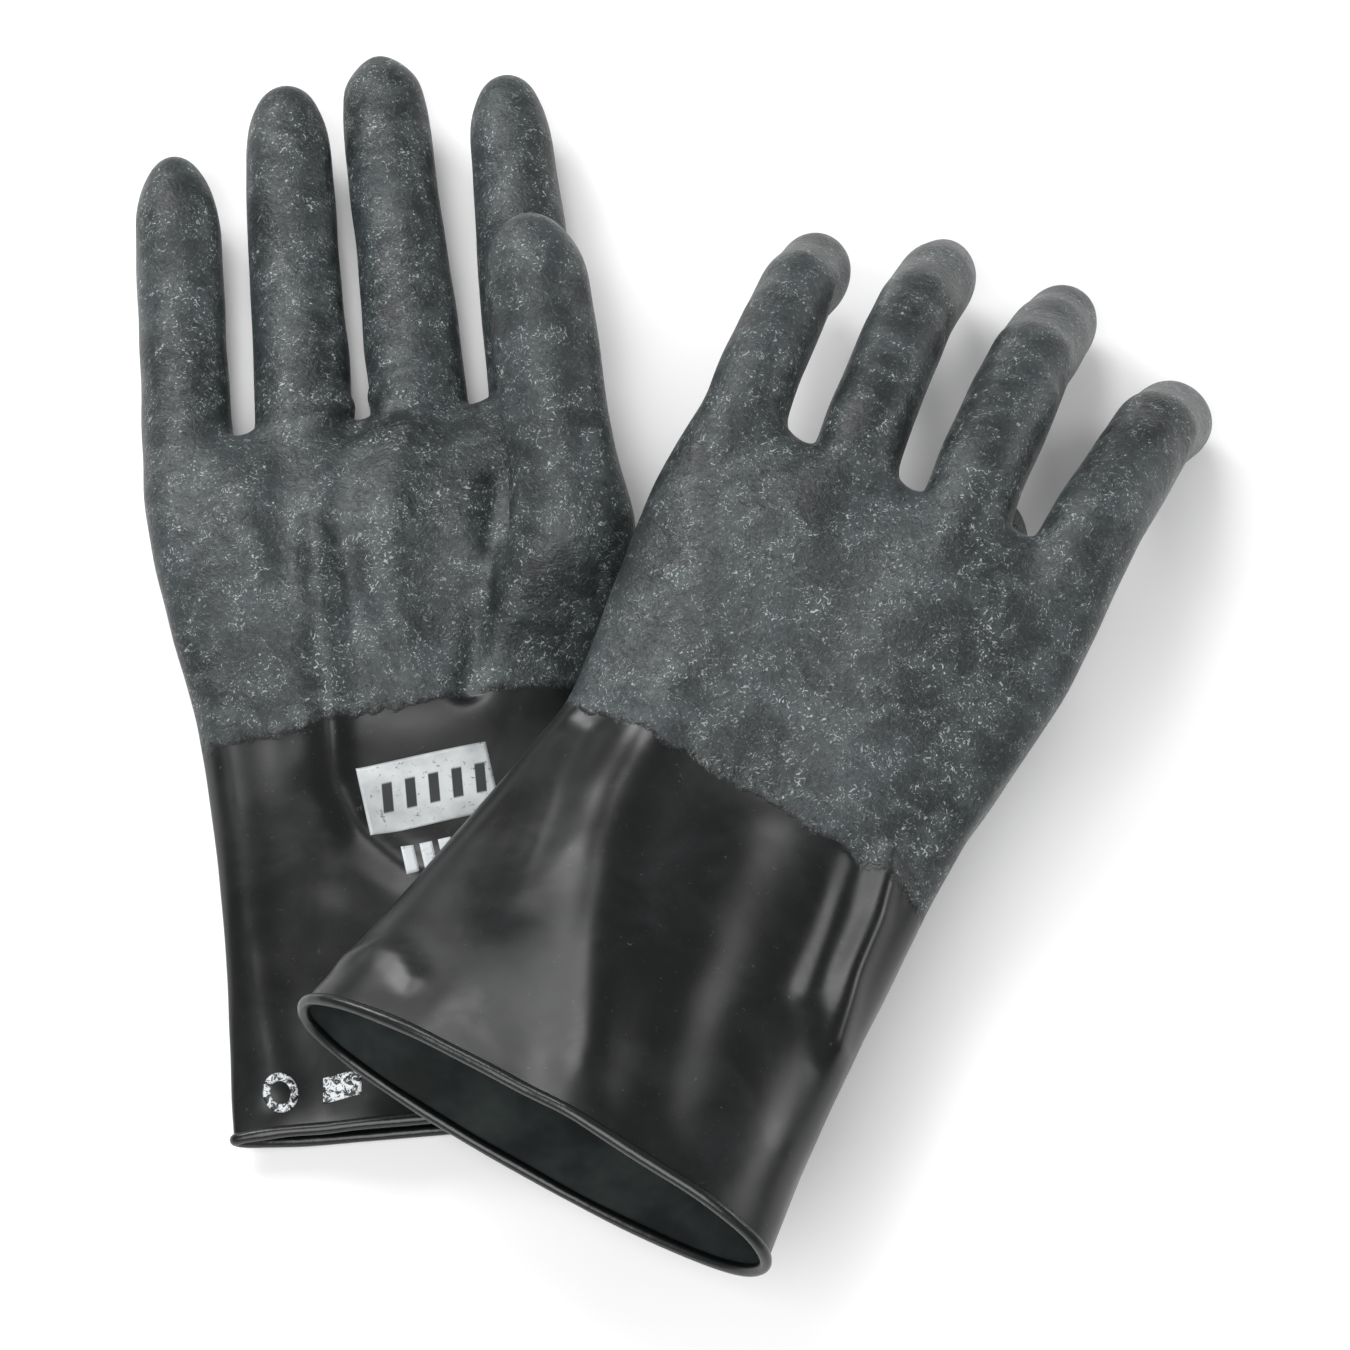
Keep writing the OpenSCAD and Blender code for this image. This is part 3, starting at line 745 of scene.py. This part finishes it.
def between(tree, value, low, high, soft):
    """1 from low + soft to high, eased down to 0 at low and at high + soft."""
    rise = ramp(tree, value, low, low + soft)
    return times(tree, rise, one_minus(tree, ramp(tree, value, high, high + soft)))


def noise(tree, place, size_mm, detail=2.0, rough=0.5, distortion=0.0):
    """A noise whose blobs are about size_mm across."""
    made = add(tree, "TexNoise", None, Vector=place, Scale=1 / (size_mm * MM), Detail=detail,
               Roughness=rough, Distortion=distortion)
    return made.outputs[0]


def blend_colours(tree, factor, a, b):
    """Colour a where factor is 0 and b where it is 1."""
    return add(tree, "Mix", {"data_type": "RGBA"}, _0=factor, _6=a, _7=b).outputs[2]


def new_material(name):
    """An empty material and its Principled shader."""
    made = bpy.data.materials.new(name)
    made.use_nodes = True
    tree = made.node_tree
    return made, tree, tree.nodes["Principled BSDF"]


def connect(tree, shader, **sockets):
    """Links or sets the shader's inputs by name."""
    for name, value in sockets.items():
        socket = shader.inputs[name.replace("__", " ")]
        if isinstance(value, bpy.types.NodeSocket):
            tree.links.new(value, socket)
        else:
            socket.default_value = value


# %% The rubber of the gloves
# Where the rough dip ends along the glove, and how far that line wanders, in millimetres
DIP_LINE, RAGGED = 91.0, 9.0


def glove_rubber():
    """Rough grip on the hand and smooth rubber on the cuff, changing over at the dip line."""
    made, tree, shader = new_material("Dipped rubber")
    place = add(tree, "TexCoord").outputs["Object"]
    along = add(tree, "Attribute", {"attribute_name": "along"}).outputs["Fac"]
    ragged = noise(tree, place, 9.0, 4.0, 0.7)
    line = maths(tree, "MULTIPLY_ADD", ragged, RAGGED, DIP_LINE - RAGGED / 2)
    grip = ramp(tree, maths(tree, "SUBTRACT", along, line), -2.0, 1.6)
    patches = noise(tree, place, 26.0, 3.0, 0.6)
    blotch = noise(tree, place, 6.5, 3.0, 0.6, 0.6)
    crumb = noise(tree, place, 1.9, 3.0, 0.6, 1.2)
    # Pale flecks: partly talc left on the rubber, partly painted glints of light off the crumb's tiny facets
    talc_and_painted_glint = noise(tree, place, 1.5, 1.5, 0.6, 2.6)
    base = blend_colours(tree, ramp(tree, patches, 0.36, 0.66), colour("#1d2122"), colour("#32383a"))
    base = blend_colours(tree, times(tree, ramp(tree, blotch, 0.42, 0.68), 0.45), base, colour("#454c4d"))
    base = blend_colours(tree, times(tree, ramp(tree, crumb, 0.5, 0.7), 0.6), base, colour("#0f1112"))
    # Mask of the pale flecks, thicker on the lighter blotches; their pale colour is partly talc and partly
    # painted glint
    where = maths(tree, "MULTIPLY_ADD", ramp(tree, blotch, 0.4, 0.62), 0.85, 0.15)
    pale = times(tree, ramp(tree, talc_and_painted_glint, 0.58, 0.7), where)
    rough_colour = blend_colours(tree, times(tree, pale, 0.8), base, colour("#a3a8a8"))
    smudge = noise(tree, place, 22.0, 4.0, 0.65, 0.5)
    smooth_colour = blend_colours(tree, ramp(tree, smudge, 0.4, 0.75), colour("#090a0b"), colour("#111314"))
    dust = times(tree, ramp(tree, noise(tree, place, 1.1, 2.0, 0.6, 1.0), 0.68, 0.76), 0.3)
    smooth_colour = blend_colours(tree, dust, smooth_colour, colour("#5d6566"))
    smooth_rough = maths(tree, "MULTIPLY_ADD", ramp(tree, smudge, 0.3, 0.8), 0.14, 0.27)
    rough_rough = maths(tree, "MULTIPLY_ADD", crumb, 0.2, 0.34)
    roughness = add(tree, "Mix", {"data_type": "FLOAT"}, _0=grip, _2=smooth_rough, _3=rough_rough).outputs[0]
    rough_height = maths(tree, "ADD", times(tree, crumb, 0.9), times(tree, blotch, 1.1))
    height = times(tree, rough_height, grip)
    height = maths(tree, "ADD", height, times(tree, noise(tree, place, 7.0, 2.0), 0.12))
    bump = add(tree, "Bump", None, Strength=0.55, Distance=0.0006, Height=height).outputs[0]
    connect(
        tree, shader, Base__Color=blend_colours(tree, grip, smooth_colour, rough_colour),
        Roughness=roughness, Normal=bump, Specular__IOR__Level=0.42,
    )
    return made


def inside_rubber():
    """The inner layer: smooth, dull, green-grey rubber that took the form's own face."""
    made, tree, shader = new_material("Inside rubber")
    place = add(tree, "TexCoord").outputs["Object"]
    tone = ramp(tree, noise(tree, place, 18.0, 3.0, 0.6), 0.35, 0.7)
    height = noise(tree, place, 5.0, 2.0)
    bump = add(tree, "Bump", None, Strength=0.3, Distance=0.0004, Height=height).outputs[0]
    connect(tree, shader, Base__Color=blend_colours(tree, tone, colour("#171b1b"), colour("#2b3231")),
            Roughness=0.5, Normal=bump)
    return made


def bead_rubber():
    """The rolled edge: the cuff's own rubber, a little glossier where it was rolled wet."""
    made, tree, shader = new_material("Rolled bead rubber")
    place = add(tree, "TexCoord").outputs["Object"]
    height = noise(tree, place, 3.0, 2.0)
    bump = add(tree, "Bump", None, Strength=0.35, Distance=0.0004, Height=height).outputs[0]
    connect(tree, shader, Base__Color=colour("#0c0e0f"), Roughness=0.3, Normal=bump)
    return made


def silver_print():
    """Silver ink with five slanted dark bars in a thin frame, where words would be."""
    made, tree, shader = new_material("Silver print")
    uv = add(tree, "UVMap", {"uv_map": "print"}).outputs[0]
    split = add(tree, "SeparateXYZ", None, Vector=uv)
    x, y = split.outputs[0], split.outputs[1]
    place = add(tree, "TexCoord").outputs["Object"]
    slanted = maths(tree, "SUBTRACT", x, times(tree, y, 0.07))
    wave = maths(tree, "FRACT", times(tree, maths(tree, "SUBTRACT", slanted, 0.06), 5.6))
    bar = between(tree, wave, 0.28, 0.72, 0.05)
    tall = between(tree, y, 0.27, 0.69, 0.04)
    wide = between(tree, slanted, 0.06, 0.93, 0.01)
    ink = times(tree, times(tree, bar, tall), wide)
    worn = ramp(tree, noise(tree, place, 1.6, 4.0, 0.7), 0.3, 0.42)
    shade = ramp(tree, noise(tree, place, 12.0, 3.0), 0.3, 0.7)
    silver = blend_colours(tree, shade, colour("#8f9394"), colour("#b9bcbd"))
    silver = blend_colours(tree, one_minus(tree, worn), silver, colour("#5e6263"))
    connect(tree, shader, Base__Color=blend_colours(tree, ink, silver, colour("#1a1c1d")), Roughness=0.42,
            Metallic=0.15)
    return made


def pale_print(name, wear):
    """Pale ink, rubbed away to the rubber in specks; more wear leaves less ink."""
    made, tree, shader = new_material(name)
    place = add(tree, "TexCoord").outputs["Object"]
    worn = ramp(tree, noise(tree, place, 1.5, 4.0, 0.75, 0.8), wear - 0.03, wear + 0.03)
    ink = blend_colours(tree, worn, colour("#0d0f10"), colour("#c4c9cb"))
    connect(tree, shader, Base__Color=ink, Roughness=0.5)
    return made


rubber, inside, edge = glove_rubber(), inside_rubber(), bead_rubber()
for obj in gloves:
    obj.data.materials.append(rubber)
    obj.data.materials.append(inside)
for obj in beads:
    obj.data.materials.append(edge)
plain_ink, worn_ink = pale_print("Pale print", 0.36), pale_print("Worn pale print", 0.5)
for obj in prints:
    obj.data.materials.append(worn_ink if "worn" in obj.name else plain_ink)
patch.data.materials[0] = silver_print()
print([m.name for m in bpy.data.materials])

# %% [markdown]
# ## Floor, light and camera
# The pair lies on a plain pale table under large soft lights, so that the smooth rubber
# shows broad, soft highlights. The camera looks down at 65 degrees through a long lens.

# %% Floor
mesh = bpy.data.meshes.new("floor")
mesh.from_pydata([(-6, -6, 0), (6, -6, 0), (6, 6, 0), (-6, 6, 0)], [], [(0, 1, 2, 3)])
floor = bpy.data.objects.new("floor", mesh)
bpy.context.scene.collection.objects.link(floor)
floor.location.z = -0.0002
pale, tree, shader = new_material("Pale table")
connect(tree, shader, Base__Color=colour("#f4f4f4"), Roughness=0.9)
floor.data.materials.append(pale)


# %% Lights
def soft_light(name, place, aim, size, power):
    """A large square lamp at a place, turned to face a point."""
    data = bpy.data.lights.new(name, "AREA")
    data.shape, data.size, data.energy = "SQUARE", size, power
    lamp = bpy.data.objects.new(name, data)
    lamp.location = place
    lamp.rotation_euler = (Vector(aim) - Vector(place)).to_track_quat("-Z", "Y").to_euler()
    bpy.context.scene.collection.objects.link(lamp)


soft_light("camera_side_light", (-0.35, -0.9, 1.3), (0, 0, 0), 1.3, 26)
soft_light("window_light", (-0.75, 0.75, 0.8), (0, 0, 0), 0.5, 8)
soft_light("sheen_light", (-0.2, 0.62, 1.15), (0, 0, 0), 0.45, 5)
soft_light("low_side_light", (1.1, 0.25, 0.5), (0, -0.05, 0.02), 0.4, 3.5)
world = bpy.data.worlds.new("Soft studio")
world.use_nodes = True
world.node_tree.nodes["Background"].inputs["Color"].default_value = (1, 1, 1, 1)
world.node_tree.nodes["Background"].inputs["Strength"].default_value = 0.3
bpy.context.scene.world = world
bpy.context.scene.view_settings.view_transform = "Standard"

# %% Camera
camera_data = bpy.data.cameras.new("camera")
camera_data.sensor_width, camera_data.lens = 36, 130
camera = bpy.data.objects.new("camera", camera_data)
bpy.context.scene.collection.objects.link(camera)
aim = Vector((0.0015, -0.0078, 0.020))
down = math.radians(65)
camera.location = aim + 1.15 * Vector((0, -math.cos(down), math.sin(down)))
camera.rotation_euler = (math.pi / 2 - down, 0, 0)
bpy.context.scene.camera = camera
print("camera at", [round(x, 3) for x in camera.location])
